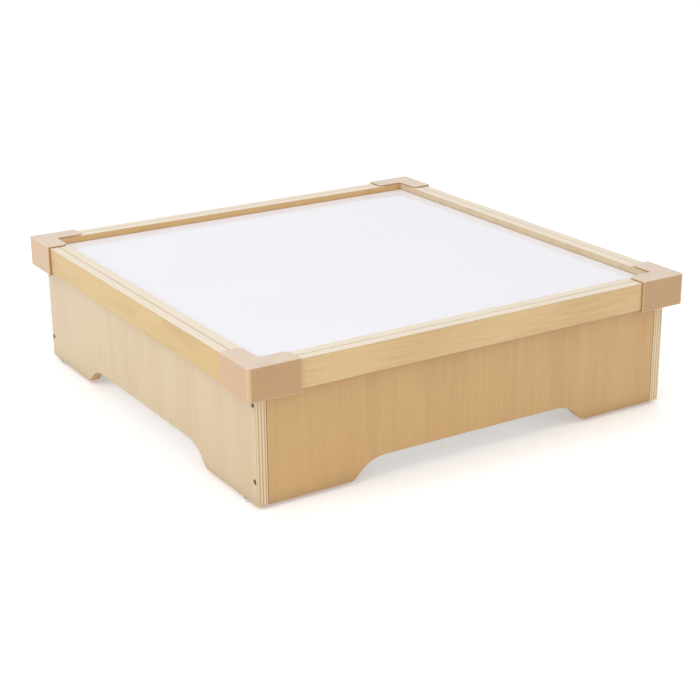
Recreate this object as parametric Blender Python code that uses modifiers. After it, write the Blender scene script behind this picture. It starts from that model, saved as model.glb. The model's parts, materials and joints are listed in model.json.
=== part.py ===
"""A low light table for toddlers: a birch plywood box with an opal acrylic top sheet.

Metres, +Z up. X runs along the front, whose face looks towards -Y. The origin is on the floor,
under the middle of the box. Pieces that touch on the real table keep a seat gap between them.
"""
import math

import bmesh
import bpy
from mathutils import Matrix, Vector

# ---- Driving dimensions ----
BOX_WIDTH = 0.645            # over the left and right panels
BOX_DEPTH = 0.645            # over the front and back panels
PANEL_HEIGHT = 0.185
PANEL_THICKNESS = 0.015
SEAT_GAP = 0.0003            # between pieces that touch
# Arch cut in the foot of each panel
FOOT_LENGTH = 0.1325         # from the box's corner to the start of the arch
ARCH_HEIGHT = 0.026
ARCH_TOE_RADIUS = 0.012      # where the foot turns up
ARCH_CROWN_RADIUS = 0.053    # where the slope meets the flat top
ARCH_SLOPE = math.radians(45)
# Trim rails round the rim
TRIM_THICKNESS = 0.015
TRIM_HEIGHT = 0.038
# Corner guards
CAP_WALL = 0.0027
CAP_TOP = 0.0021
CAP_LIP = 0.0026             # under the trim
CAP_ARM = 0.0725             # from the guard's own corner to the end of each arm
CAP_CORNER_RADIUS = 0.004
CAP_END_OUTER_RADIUS = 0.0012
CAP_END_INNER_RADIUS = 0.009 # towards the sheet
CAP_INNER_RADIUS = 0.003
CAP_INNER_SETBACK = 0.0012   # from the rim's inner face back to the guard's inner edge
# Acrylic sheet and what carries it
SHEET_THICKNESS = 0.005
SHEET_RECESS = 0.0093        # from the rim down to the sheet
SHEET_CLEARANCE = 0.0005     # all round
LEDGER_WIDTH = 0.012
LEDGER_HEIGHT = 0.020
# Base board
BASE_THICKNESS = 0.006
BASE_HEIGHT = 0.030          # from the panels' feet up to the board's underside
BASE_CLEARANCE = 0.0010      # all round
CLEAT_WIDTH = 0.015
CLEAT_HEIGHT = 0.015
# Nail-in glides
GLIDE_RADIUS = 0.0085
GLIDE_HEIGHT = 0.0045
GLIDE_EDGE_RADIUS = 0.0015
GLIDE_INSET = 0.0325         # from the end of the side panel
NAIL_RADIUS = 0.0012
NAIL_LENGTH = 0.014
# Countersunk wood screws
SCREW_HEAD_RADIUS = 0.0035
SCREW_HEAD_HEIGHT = 0.0028
SCREW_SHANK_RADIUS = 0.0017
SCREW_TIP = 0.004
SCREW_SINK = 0.0006          # head's face below the wood
CORNER_SCREW_LENGTH = 0.040
CORNER_SCREW_EDGE = 0.006    # from the front or back face of the box
CORNER_SCREW_HEIGHTS = (0.0315, 0.1315)
BASE_SCREW_LENGTH = 0.016
BASE_SCREW_SPREAD = 0.200    # from the middle of the front and back cleats
PLATE_SCREW_LENGTH = 0.012
# LED bars
BAR_COUNT = 4
BAR_END_SPACE = 0.0575       # from a bar's end to the side panel
CHANNEL_WIDTH = 0.017
CHANNEL_HEIGHT = 0.008
CHANNEL_WALL = 0.0013
STRIP_WIDTH = 0.012
STRIP_THICKNESS = 0.0016
# Power plate on the back panel, seen from behind
POWER_OFFSET = 0.180         # from the middle of the back, towards +X
POWER_HEIGHT = 0.095         # from the panels' feet up to the plate's middle
PLATE_WIDTH = 0.080
PLATE_HEIGHT = 0.036
PLATE_THICKNESS = 0.003
PLATE_CORNER_RADIUS = 0.004
PLATE_SCREW_OFFSET = 0.034
CUTOUT_WIDTH = 0.052         # through the back panel
CUTOUT_MARGIN = 0.0035       # above and below the switch body
SWITCH_OFFSET = -0.010       # from the plate's middle
JACK_OFFSET = 0.014
# Rocker switch
ROCKER_WIDTH = 0.0094
ROCKER_HALF_LENGTH = 0.0077
ROCKER_CROWN = 0.0040        # from the pivot out to the rocker's ends
ROCKER_DISH = 0.0010         # how far the middle of the face dips
ROCKER_SKIRT = 0.0030        # from the pivot in to the rocker's back
ROCKER_TILT = math.radians(10)
ROCKER_CLEARANCE = 0.0003
PIVOT_DEPTH = 0.0035         # from the bezel's face in to the pivot
PIVOT_RADIUS = 0.0008
PIVOT_ENGAGEMENT = 0.0007    # how far each stub pin goes into the body's wall
PIVOT_CLEARANCE = 0.0001
SWITCH_WALL = 0.0014
SWITCH_DEPTH = 0.0145        # behind the bezel
WELL_DEPTH = 0.0105          # from the bezel's face
BEZEL_FLANGE = 0.0010        # how far the bezel stands out past the body
BEZEL_THICKNESS = 0.002
# Inlet jack
JACK_FLANGE_RADIUS = 0.0065
JACK_FLANGE_THICKNESS = 0.0015
JACK_BARREL_RADIUS = 0.0052
JACK_BARREL_LENGTH = 0.014
JACK_SOCKET_RADIUS = 0.0028
JACK_SOCKET_DEPTH = 0.009
JACK_PIN_RADIUS = 0.0010
# Internal leads
LEAD_RADIUS = 0.0013
LEAD_POINT_SPACING = 0.006
LEAD_LIFT = 0.0004           # above the base board

# ---- Sizes that follow from them ----
FOOT_Z = GLIDE_HEIGHT + SEAT_GAP
RIM_Z = FOOT_Z + PANEL_HEIGHT
HALF_WIDTH = BOX_WIDTH / 2
HALF_DEPTH = BOX_DEPTH / 2
INNER_HALF_WIDTH = HALF_WIDTH - PANEL_THICKNESS
INNER_HALF_DEPTH = HALF_DEPTH - PANEL_THICKNESS
SHEET_Z = RIM_Z - SHEET_RECESS
LEDGER_Z = SHEET_Z - SHEET_THICKNESS - SEAT_GAP - LEDGER_HEIGHT
BASE_Z = FOOT_Z + BASE_HEIGHT
BASE_TOP_Z = BASE_Z + BASE_THICKNESS
CLEAT_Z = BASE_TOP_Z + SEAT_GAP
POWER_Z = FOOT_Z + POWER_HEIGHT
PLATE_BACK_Y = HALF_DEPTH + SEAT_GAP
PLATE_FACE_Y = PLATE_BACK_Y + PLATE_THICKNESS
BEZEL_FACE_Y = PLATE_FACE_Y + SEAT_GAP + BEZEL_THICKNESS
BAR_LENGTH = 2 * (INNER_HALF_WIDTH - BAR_END_SPACE)
BAR_PITCH = 2 * INNER_HALF_DEPTH / BAR_COUNT
STRIP_Z = BASE_TOP_Z + SEAT_GAP + CHANNEL_WALL + SEAT_GAP
ROCKER_SWING = math.hypot(ROCKER_HALF_LENGTH, ROCKER_CROWN)
WELL_WIDTH = ROCKER_WIDTH + 2 * ROCKER_CLEARANCE
WELL_HEIGHT = 2 * (ROCKER_SWING + ROCKER_CLEARANCE)
SWITCH_WIDTH = WELL_WIDTH + 2 * SWITCH_WALL
SWITCH_HEIGHT = WELL_HEIGHT + 2 * SWITCH_WALL
BEZEL_WIDTH = SWITCH_WIDTH + 2 * BEZEL_FLANGE
BEZEL_HEIGHT = SWITCH_HEIGHT + 2 * BEZEL_FLANGE
PIVOT_LENGTH = WELL_WIDTH + 2 * PIVOT_ENGAGEMENT
CUTOUT_HEIGHT = SWITCH_HEIGHT + 2 * CUTOUT_MARGIN

ARC_STEPS = 6                # per rounded corner
ROUND_SIDES = 24
SMALL_SIDES = 12
MERGE_DISTANCE = 0.00002
CUT_OVERRUN = 0.010          # how far a through cutter passes the faces it cuts
SMOOTH_ANGLE = math.radians(50)  # faces that meet at less than this are shaded as one


def clear_scene():
    for leftover in list(bpy.data.objects):
        bpy.data.objects.remove(leftover, do_unlink=True)


def new_collection(name):
    collection = bpy.data.collections.new(name)
    bpy.context.scene.collection.children.link(collection)
    return collection


def new_material(name, color, roughness, metallic=0.0):
    material = bpy.data.materials.new(name)
    material.use_nodes = True
    shader = material.node_tree.nodes["Principled BSDF"]
    shader.inputs["Base Color"].default_value = (*color, 1.0)
    shader.inputs["Roughness"].default_value = roughness
    shader.inputs["Metallic"].default_value = metallic
    material.diffuse_color = (*color, 1.0)
    return material


clear_scene()
PARTS = new_collection("light_table")
CUTTERS = new_collection("cutters")


def add_object(name, data, material=None, location=(0, 0, 0), rotation=(0, 0, 0)):
    """Places one part, or one cutter where there is no material."""
    thing = bpy.data.objects.new(name, data)
    thing.location = location
    thing.rotation_euler = rotation
    if material is None:
        CUTTERS.objects.link(thing)
        thing.hide_render = True
        thing.display_type = "WIRE"
    else:
        PARTS.objects.link(thing)
        data.materials.append(material)
    return thing


def mesh_from(name, build):
    """A new mesh that build(bm) fills in."""
    mesh = bpy.data.meshes.new(name)
    bm = bmesh.new()
    build(bm)
    bm.to_mesh(mesh)
    bm.free()
    return mesh


def shade_round(mesh):
    """Shades a mesh smooth round its curves and keeps its corners sharp."""
    mesh.shade_smooth()
    mesh.set_sharp_from_angle(angle=SMOOTH_ANGLE)


def box(name, low, high, material=None):
    """A box between two corners, with its origin at its middle."""
    low = Vector(low)
    high = Vector(high)

    def build(bm):
        bmesh.ops.create_cube(bm, size=1.0, matrix=Matrix.Diagonal((*(high - low), 1.0)))

    return add_object(name, mesh_from(name, build), material, (low + high) / 2)


def cylinder(name, radius, length, sides, location, rotation, material=None):
    def build(bm):
        bmesh.ops.create_cone(bm, cap_ends=True, segments=sides, radius1=radius, radius2=radius,
                              depth=length)

    mesh = mesh_from(name, build)
    shade_round(mesh)
    return add_object(name, mesh, material, location, rotation)


def arc(center, radius, start, end, steps=ARC_STEPS):
    """Points on an arc in the outline's plane, both ends included."""
    angles = [start + (end - start) * step / steps for step in range(steps + 1)]
    return [(center[0] + radius * math.cos(a), center[1] + radius * math.sin(a)) for a in angles]


def extruded(name, outline, thickness, material=None, location=(0, 0, 0), rotation=(0, 0, 0)):
    """A flat outline given a thickness, half of it on each side of the outline's plane."""
    curve = bpy.data.curves.new(name, "CURVE")
    curve.dimensions = "2D"
    curve.fill_mode = "BOTH"
    curve.extrude = thickness / 2
    spline = curve.splines.new("POLY")
    spline.points.add(len(outline) - 1)
    for point, (x, y) in zip(spline.points, outline):
        point.co = (x, y, 0.0, 1.0)
    spline.use_cyclic_u = True
    return welded_mesh_object(name, curve, material, location, rotation)


def welded_mesh_object(name, curve, material, location, rotation):
    """Turns a curve into a closed mesh, so that it can be cut or can cut."""
    outline = bpy.data.objects.new(name + "_curve", curve)
    bpy.context.scene.collection.objects.link(outline)
    outline.location = location
    outline.rotation_euler = rotation
    bpy.context.view_layer.update()
    evaluated = outline.evaluated_get(bpy.context.evaluated_depsgraph_get())
    mesh = bpy.data.meshes.new_from_object(evaluated)
    mesh.name = name
    bm = bmesh.new()
    bm.from_mesh(mesh)
    bmesh.ops.remove_doubles(bm, verts=bm.verts, dist=MERGE_DISTANCE)
    bmesh.ops.recalc_face_normals(bm, faces=bm.faces)
    bm.to_mesh(mesh)
    bm.free()
    shade_round(mesh)
    mesh.materials.clear()
    thing = add_object(name, mesh, material)
    thing.matrix_world = outline.matrix_world.copy()
    bpy.data.objects.remove(outline, do_unlink=True)
    return thing


def turned(name, profile, sides, material=None, location=(0, 0, 0), rotation=(0, 0, 0)):
    """Turns a profile of (radius, height) points, listed from its top down, about local Z."""
    def build(bm):
        corners = [bm.verts.new((radius, 0.0, height)) for radius, height in profile]
        for start, end in zip(corners, corners[1:]):
            bm.edges.new((start, end))

    thing = add_object(name, mesh_from(name, build), material, location, rotation)
    screw = thing.modifiers.new("turn", "SCREW")
    screw.axis = "Z"
    screw.steps = sides
    screw.render_steps = sides
    screw.use_merge_vertices = True
    screw.merge_threshold = MERGE_DISTANCE
    evaluated = thing.evaluated_get(bpy.context.evaluated_depsgraph_get())
    thing.data = bpy.data.meshes.new_from_object(evaluated)
    thing.modifiers.remove(screw)
    shade_round(thing.data)
    return thing


def join_on(target, addition):
    add_boolean(target, addition, "UNION")


def cut_from(target, cutter):
    add_boolean(target, cutter, "DIFFERENCE")


def add_boolean(target, tool, operation):
    boolean = target.modifiers.new(tool.name, "BOOLEAN")
    boolean.operation = operation
    boolean.solver = "EXACT"
    boolean.object = tool


def tube(name, route, radius, material):
    """A lead along a smooth curve through the route's points."""
    curve = bpy.data.curves.new(name, "CURVE")
    curve.dimensions = "3D"
    curve.bevel_depth = radius
    curve.bevel_resolution = 2
    curve.use_fill_caps = True
    points = smooth_points(route, LEAD_POINT_SPACING)
    spline = curve.splines.new("POLY")
    spline.points.add(len(points) - 1)
    for point, place in zip(spline.points, points):
        point.co = (*place, 1.0)
    return welded_mesh_object(name, curve, material, (0, 0, 0), (0, 0, 0))


def smooth_points(route, spacing):
    """Evenly stepped points on a Catmull-Rom curve through the route."""
    places = [Vector(place) for place in route]
    ends = [2 * places[0] - places[1], *places, 2 * places[-1] - places[-2]]
    points = [places[0]]
    for before, start, end, after in zip(ends, ends[1:], ends[2:], ends[3:]):
        steps = max(1, round((end - start).length / spacing))
        for step in range(1, steps + 1):
            t = step / steps
            points.append(0.5 * (2 * start + (end - before) * t
                                 + (2 * before - 5 * start + 4 * end - after) * t ** 2
                                 + (3 * start - before - 3 * end + after) * t ** 3))
    return points


# ---- Materials ----
BIRCH_FACE = new_material("birch_face", (0.66, 0.45, 0.26), 0.45)
BIRCH_TRIM = new_material("birch_trim", (0.70, 0.50, 0.27), 0.40)
CAP_PLASTIC = new_material("cap_plastic", (0.62, 0.42, 0.28), 0.55)
OPAL_ACRYLIC = new_material("opal_acrylic", (0.90, 0.89, 0.93), 0.05)
PINE = new_material("pine_strip", (0.74, 0.55, 0.34), 0.60)
WHITE_BOARD = new_material("white_board", (0.86, 0.86, 0.84), 0.50)
GLIDE_PLASTIC = new_material("glide_plastic", (0.60, 0.59, 0.56), 0.40)
DARK_STEEL = new_material("dark_steel", (0.05, 0.045, 0.04), 0.45, 0.8)
ALUMINIUM = new_material("aluminium", (0.75, 0.75, 0.76), 0.35, 1.0)
LED_BOARD = new_material("led_board", (0.85, 0.85, 0.85), 0.40)
BLACK_PLASTIC = new_material("black_plastic", (0.02, 0.02, 0.02), 0.45)
LEAD_JACKET = new_material("lead_jacket", (0.03, 0.03, 0.03), 0.50)


# ---- Fasteners ----
def screw_profile(length, grow=0.0, head_room=0.0):
    """Countersunk screw pointing down from its face at height 0; grow makes its clearance hole."""
    mouth = [(0.0, head_room), (SCREW_HEAD_RADIUS + grow, head_room)] if head_room else [(0.0, 0.0)]
    return mouth + [
        (SCREW_HEAD_RADIUS + grow, 0.0),
        (SCREW_SHANK_RADIUS + grow, -SCREW_HEAD_HEIGHT - grow),
        (SCREW_SHANK_RADIUS + grow, -length + SCREW_TIP - grow),
        (0.0, -length - grow),
    ]


def wood_screw(name, length, face, direction, targets):
    """A screw whose head faces along direction, sunk just below face, cut into its targets."""
    direction = Vector(direction)
    seat = Vector(face) - direction * SCREW_SINK
    rotation = Vector((0, 0, 1)).rotation_difference(direction).to_euler()
    turned(name, screw_profile(length), SMALL_SIDES, DARK_STEEL, seat, rotation)
    hole = turned(name + "_hole", screw_profile(length, SEAT_GAP, CUT_OVERRUN), SMALL_SIDES,
                  None, seat, rotation)
    for target in targets:
        cut_from(target, hole)


# ---- Box ----
def panel_outline(width, foot_length):
    """A panel's face: square shoulders, two feet and an arch whose ends are S-curves."""
    half = width / 2
    toe_x = half - foot_length
    lean = math.pi / 2 - ARCH_SLOPE
    toe_drop = ARCH_TOE_RADIUS * (1 - math.cos(ARCH_SLOPE))
    crown_drop = ARCH_CROWN_RADIUS * (1 - math.cos(ARCH_SLOPE))
    slope_run = (ARCH_HEIGHT - toe_drop - crown_drop) / math.tan(ARCH_SLOPE)
    crown_x = (toe_x - (ARCH_TOE_RADIUS + ARCH_CROWN_RADIUS) * math.sin(ARCH_SLOPE) - slope_run)
    toe = arc((toe_x, ARCH_TOE_RADIUS), ARCH_TOE_RADIUS, -math.pi / 2, -math.pi / 2 - ARCH_SLOPE)
    crown = arc((crown_x, ARCH_HEIGHT - ARCH_CROWN_RADIUS), ARCH_CROWN_RADIUS, lean, math.pi / 2)
    right_side = toe + crown
    left_side = [(-x, z) for x, z in reversed(right_side)]
    return ([(-half, PANEL_HEIGHT), (-half, 0.0)] + left_side[::-1] + right_side[::-1]
            + [(half, 0.0), (half, PANEL_HEIGHT)])


def make_panels():
    """Side panels run through; the front and back panels stand between them."""
    upright = math.pi / 2
    between = 2 * (INNER_HALF_WIDTH - SEAT_GAP)
    side_x = HALF_WIDTH - PANEL_THICKNESS / 2
    end_y = HALF_DEPTH - PANEL_THICKNESS / 2
    end_foot = FOOT_LENGTH - PANEL_THICKNESS - SEAT_GAP
    panels = {}
    for name, x in (("panel_left", -side_x), ("panel_right", side_x)):
        panels[name] = extruded(name, panel_outline(BOX_DEPTH, FOOT_LENGTH), PANEL_THICKNESS,
                                BIRCH_FACE, (x, 0, FOOT_Z), (upright, 0, upright))
    for name, y in (("panel_front", -end_y), ("panel_back", end_y)):
        panels[name] = extruded(name, panel_outline(between, end_foot), PANEL_THICKNESS,
                                BIRCH_FACE, (0, y, FOOT_Z), (upright, 0, 0))
    return panels


def make_corner_screws(panels):
    y = HALF_DEPTH - CORNER_SCREW_EDGE
    for side, x_sign in (("left", -1), ("right", 1)):
        for end, y_sign in (("front", -1), ("back", 1)):
            for level, height in zip(("low", "high"), CORNER_SCREW_HEIGHTS):
                wood_screw(f"corner_screw_{side}_{end}_{level}", CORNER_SCREW_LENGTH,
                           (x_sign * HALF_WIDTH, y_sign * y, FOOT_Z + height), (x_sign, 0, 0),
                           (panels["panel_" + side], panels["panel_" + end]))


def make_glides(panels):
    """Plastic glides, each on a nail that goes up into a side panel's foot."""
    rounded_edge = arc((GLIDE_RADIUS - GLIDE_EDGE_RADIUS, GLIDE_EDGE_RADIUS), GLIDE_EDGE_RADIUS,
                       0.0, -math.pi / 2, 3)
    profile = ([(0.0, GLIDE_HEIGHT + NAIL_LENGTH), (NAIL_RADIUS, GLIDE_HEIGHT + NAIL_LENGTH - NAIL_RADIUS),
                (NAIL_RADIUS, GLIDE_HEIGHT), (GLIDE_RADIUS, GLIDE_HEIGHT)] + rounded_edge + [(0.0, 0.0)])
    hole_radius = NAIL_RADIUS + SEAT_GAP
    hole_length = NAIL_LENGTH + SEAT_GAP + CUT_OVERRUN
    x = HALF_WIDTH - PANEL_THICKNESS / 2
    y = HALF_DEPTH - GLIDE_INSET
    for side, x_sign in (("left", -1), ("right", 1)):
        for end, y_sign in (("front", -1), ("back", 1)):
            name = f"glide_{side}_{end}"
            turned(name, profile, ROUND_SIDES, GLIDE_PLASTIC, (x_sign * x, y_sign * y, 0))
            hole = cylinder(name + "_hole", hole_radius, hole_length, SMALL_SIDES,
                            (x_sign * x, y_sign * y, GLIDE_HEIGHT - CUT_OVERRUN + hole_length / 2),
                            (0, 0, 0))
            cut_from(panels["panel_" + side], hole)


def make_trim():
    """Front and back rails run the full width; the side rails butt against them."""
    inner_x = HALF_WIDTH + SEAT_GAP
    outer_x = HALF_WIDTH + TRIM_THICKNESS
    inner_y = HALF_DEPTH + SEAT_GAP
    outer_y = HALF_DEPTH + TRIM_THICKNESS
    low_z = RIM_Z - TRIM_HEIGHT
    side_end = inner_y - SEAT_GAP
    box("trim_front", (-outer_x, -outer_y, low_z), (outer_x, -inner_y, RIM_Z), BIRCH_TRIM)
    box("trim_back", (-outer_x, inner_y, low_z), (outer_x, outer_y, RIM_Z), BIRCH_TRIM)
    box("trim_left", (-outer_x, -side_end, low_z), (-inner_x, side_end, RIM_Z), BIRCH_TRIM)
    box("trim_right", (inner_x, -side_end, low_z), (outer_x, side_end, RIM_Z), BIRCH_TRIM)


# ---- Corner guards ----
def guard_outline(reach):
    """An L seen from above, its outer corner at the origin and its arms along +X and +Y."""
    quarter = math.pi / 2
    corner = CAP_CORNER_RADIUS
    outer = CAP_END_OUTER_RADIUS
    sheet_side = CAP_END_INNER_RADIUS
    inner = CAP_INNER_RADIUS
    return (arc((corner, corner), corner, 3 * quarter, 2 * quarter)
            + arc((outer, CAP_ARM - outer), outer, 2 * quarter, quarter, 3)
            + arc((reach - sheet_side, CAP_ARM - sheet_side), sheet_side, quarter, 0.0)
            + arc((reach + inner, reach + inner), inner, 2 * quarter, 3 * quarter)
            + arc((CAP_ARM - sheet_side, reach - sheet_side), sheet_side, quarter, 0.0)
            + arc((CAP_ARM - outer, outer), outer, 0.0, -quarter, 3))


def make_guards():
    """Soft C-section guards that slip over the trim: a top flange, a wall and a lip below."""
    skin = SEAT_GAP + CAP_WALL
    reach = skin + TRIM_THICKNESS + PANEL_THICKNESS - CAP_INNER_SETBACK
    low_z = RIM_Z - TRIM_HEIGHT - SEAT_GAP - CAP_LIP
    high_z = RIM_Z + SEAT_GAP + CAP_TOP
    corners = {"left_front": (-1, -1, 0), "right_front": (1, -1, 1), "right_back": (1, 1, 2),
               "left_back": (-1, 1, 3)}
    for place, (x_sign, y_sign, turns) in corners.items():
        name = "corner_guard_" + place
        corner = Vector((x_sign * (HALF_WIDTH + TRIM_THICKNESS + skin),
                         y_sign * (HALF_DEPTH + TRIM_THICKNESS + skin), 0))
        spin = (0, 0, turns * math.pi / 2)
        guard = extruded(name, guard_outline(reach), high_z - low_z, CAP_PLASTIC,
                         corner + Vector((0, 0, (high_z + low_z) / 2)), spin)
        hollow_from = CAP_WALL
        panel_from = skin + TRIM_THICKNESS - SEAT_GAP
        far = CAP_ARM + CUT_OVERRUN
        hollow = box(name + "_trim_space", (hollow_from, hollow_from, low_z + CAP_LIP),
                     (far, far, RIM_Z + SEAT_GAP))
        below = box(name + "_panel_space", (panel_from, panel_from, low_z - CUT_OVERRUN),
                    (far, far, RIM_Z))
        for cutter in (hollow, below):
            turn = Matrix.Rotation(spin[2], 4, "Z")
            cutter.matrix_world = Matrix.Translation(corner) @ turn @ Matrix.Translation(cutter.location)
            cut_from(guard, cutter)


# ---- Light box ----
def make_ring(prefix, width, height, low_z, material):
    """Four strips round the inside of the box, the front and back ones full length."""
    x = INNER_HALF_WIDTH - SEAT_GAP
    y = INNER_HALF_DEPTH - SEAT_GAP
    side_end = y - width - SEAT_GAP
    high_z = low_z + height
    return {
        "front": box(prefix + "_front", (-x, -y, low_z), (x, -y + width, high_z), material),
        "back": box(prefix + "_back", (-x, y - width, low_z), (x, y, high_z), material),
        "left": box(prefix + "_left", (-x, -side_end, low_z), (-x + width, side_end, high_z), material),
        "right": box(prefix + "_right", (x - width, -side_end, low_z), (x, side_end, high_z), material),
    }


def make_sheet():
    x = INNER_HALF_WIDTH - SHEET_CLEARANCE
    y = INNER_HALF_DEPTH - SHEET_CLEARANCE
    box("top_sheet", (-x, -y, SHEET_Z - SHEET_THICKNESS), (x, y, SHEET_Z), OPAL_ACRYLIC)


def make_base():
    """A board screwed from below to cleats, so that the lamps can be reached."""
    cleats = make_ring("base_cleat", CLEAT_WIDTH, CLEAT_HEIGHT, CLEAT_Z, PINE)
    x = INNER_HALF_WIDTH - BASE_CLEARANCE
    y = INNER_HALF_DEPTH - BASE_CLEARANCE
    board = box("base_board", (-x, -y, BASE_Z), (x, y, BASE_TOP_Z), WHITE_BOARD)
    cleat_x = INNER_HALF_WIDTH - SEAT_GAP - CLEAT_WIDTH / 2
    cleat_y = INNER_HALF_DEPTH - SEAT_GAP - CLEAT_WIDTH / 2
    places = {"front_left": (-BASE_SCREW_SPREAD, -cleat_y), "front_right": (BASE_SCREW_SPREAD, -cleat_y),
              "back_left": (-BASE_SCREW_SPREAD, cleat_y), "back_right": (BASE_SCREW_SPREAD, cleat_y),
              "left": (-cleat_x, 0.0), "right": (cleat_x, 0.0)}
    for place, (screw_x, screw_y) in places.items():
        wood_screw("base_screw_" + place, BASE_SCREW_LENGTH, (screw_x, screw_y, BASE_Z), (0, 0, -1),
                   (board, cleats[place.split("_")[0]]))


def bar_row(number):
    """The Y of a bar, from the front."""
    return (number - (BAR_COUNT - 1) / 2) * BAR_PITCH


def make_bars():
    """Aluminium channels stuck to the base board, each with an LED strip in it."""
    half = CHANNEL_WIDTH / 2
    inner = half - CHANNEL_WALL
    outline = [(-half, 0.0), (half, 0.0), (half, CHANNEL_HEIGHT), (inner, CHANNEL_HEIGHT),
               (inner, CHANNEL_WALL), (-inner, CHANNEL_WALL), (-inner, CHANNEL_HEIGHT),
               (-half, CHANNEL_HEIGHT)]
    quarter = math.pi / 2
    for number in range(BAR_COUNT):
        y = bar_row(number)
        extruded(f"led_channel_{number + 1}", outline, BAR_LENGTH, ALUMINIUM,
                 (0, y, BASE_TOP_Z + SEAT_GAP), (quarter, 0, quarter))
        box(f"led_strip_{number + 1}", (-BAR_LENGTH / 2, y - STRIP_WIDTH / 2, STRIP_Z),
            (BAR_LENGTH / 2, y + STRIP_WIDTH / 2, STRIP_Z + STRIP_THICKNESS), LED_BOARD)


# ---- Power plate, switch and inlet ----
def make_power_plate(panel_back):
    """A plate over a slot in the back panel; seen from behind its outline is round-cornered."""
    quarter = math.pi / 2
    half = PLATE_WIDTH / 2 - PLATE_CORNER_RADIUS
    rise = PLATE_HEIGHT / 2 - PLATE_CORNER_RADIUS
    outline = (arc((half, rise), PLATE_CORNER_RADIUS, 0, quarter)
               + arc((-half, rise), PLATE_CORNER_RADIUS, quarter, 2 * quarter)
               + arc((-half, -rise), PLATE_CORNER_RADIUS, 2 * quarter, 3 * quarter)
               + arc((half, -rise), PLATE_CORNER_RADIUS, 3 * quarter, 4 * quarter))
    middle = Vector((POWER_OFFSET, PLATE_BACK_Y + PLATE_THICKNESS / 2, POWER_Z))
    plate = extruded("power_plate", outline, PLATE_THICKNESS, BLACK_PLASTIC, middle, (quarter, 0, 0))
    slot = box("power_slot", (POWER_OFFSET - CUTOUT_WIDTH / 2, INNER_HALF_DEPTH - CUT_OVERRUN,
                              POWER_Z - CUTOUT_HEIGHT / 2),
               (POWER_OFFSET + CUTOUT_WIDTH / 2, HALF_DEPTH + CUT_OVERRUN, POWER_Z + CUTOUT_HEIGHT / 2))
    cut_from(panel_back, slot)
    for side, x_sign in (("left", -1), ("right", 1)):
        wood_screw("plate_screw_" + side, PLATE_SCREW_LENGTH,
                   (POWER_OFFSET + x_sign * PLATE_SCREW_OFFSET, PLATE_FACE_Y, POWER_Z), (0, 1, 0),
                   (plate, panel_back))
    return plate


def make_switch(plate):
    """A snap-in body with a well, in which the rocker turns on two stub pins."""
    x = POWER_OFFSET + SWITCH_OFFSET
    back_y = BEZEL_FACE_Y - BEZEL_THICKNESS
    body_back_y = back_y - SWITCH_DEPTH
    body = box("switch_body", (x - BEZEL_WIDTH / 2, back_y, POWER_Z - BEZEL_HEIGHT / 2),
               (x + BEZEL_WIDTH / 2, BEZEL_FACE_Y, POWER_Z + BEZEL_HEIGHT / 2), BLACK_PLASTIC)
    core = box("switch_core", (x - SWITCH_WIDTH / 2, body_back_y, POWER_Z - SWITCH_HEIGHT / 2),
               (x + SWITCH_WIDTH / 2, back_y + BEZEL_THICKNESS / 2, POWER_Z + SWITCH_HEIGHT / 2))
    join_on(body, core)
    well = box("switch_well", (x - WELL_WIDTH / 2, BEZEL_FACE_Y - WELL_DEPTH, POWER_Z - WELL_HEIGHT / 2),
               (x + WELL_WIDTH / 2, BEZEL_FACE_Y + CUT_OVERRUN, POWER_Z + WELL_HEIGHT / 2))
    cut_from(body, well)
    pivot = Vector((x, BEZEL_FACE_Y - PIVOT_DEPTH, POWER_Z))
    sideways = (0, math.pi / 2, 0)
    socket = cylinder("pivot_socket", PIVOT_RADIUS + PIVOT_CLEARANCE, PIVOT_LENGTH + 2 * PIVOT_CLEARANCE,
                      SMALL_SIDES, pivot, sideways)
    cut_from(body, socket)
    grow = SEAT_GAP
    passage = box("switch_passage", (x - SWITCH_WIDTH / 2 - grow, HALF_DEPTH - CUT_OVERRUN,
                                     POWER_Z - SWITCH_HEIGHT / 2 - grow),
                  (x + SWITCH_WIDTH / 2 + grow, HALF_DEPTH + CUT_OVERRUN,
                   POWER_Z + SWITCH_HEIGHT / 2 + grow))
    cut_from(plate, passage)
    make_rocker(pivot, sideways)


def make_rocker(pivot, sideways):
    """Rests tilted to off; its outline lies in Y-Z, with the pivot at its origin."""
    top = math.atan2(ROCKER_CROWN, ROCKER_HALF_LENGTH)
    bottom = -math.asin(ROCKER_SKIRT / ROCKER_SWING)
    side = arc((0, 0), ROCKER_SWING, bottom, top, 4)
    face_radius = (ROCKER_HALF_LENGTH ** 2 + ROCKER_DISH ** 2) / (2 * ROCKER_DISH)
    spread = math.asin(ROCKER_HALF_LENGTH / face_radius)
    down = -math.pi / 2
    face = arc((0, ROCKER_CROWN - ROCKER_DISH + face_radius), face_radius, down + spread, down - spread, 8)
    other = [(-along, out) for along, out in reversed(side)]
    outline = side[:-1] + face + other[1:]
    upright = Matrix(((0, 0, 1), (0, 1, 0), (1, 0, 0))).to_4x4()
    frame = Matrix.Translation(pivot) @ Matrix.Rotation(-ROCKER_TILT, 4, "X")
    rocker = extruded("switch_rocker", outline, ROCKER_WIDTH, BLACK_PLASTIC)
    flip_outward(rocker, upright)
    rocker.matrix_world = frame
    pin = cylinder("rocker_pin", PIVOT_RADIUS, PIVOT_LENGTH, SMALL_SIDES, pivot, sideways)
    join_on(rocker, pin)


def flip_outward(thing, turn):
    """Turns a mesh in place by a mirroring matrix and keeps its faces outward."""
    bm = bmesh.new()
    bm.from_mesh(thing.data)
    bmesh.ops.transform(bm, matrix=turn, verts=bm.verts)
    bmesh.ops.recalc_face_normals(bm, faces=bm.faces)
    bm.to_mesh(thing.data)
    bm.free()


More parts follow.
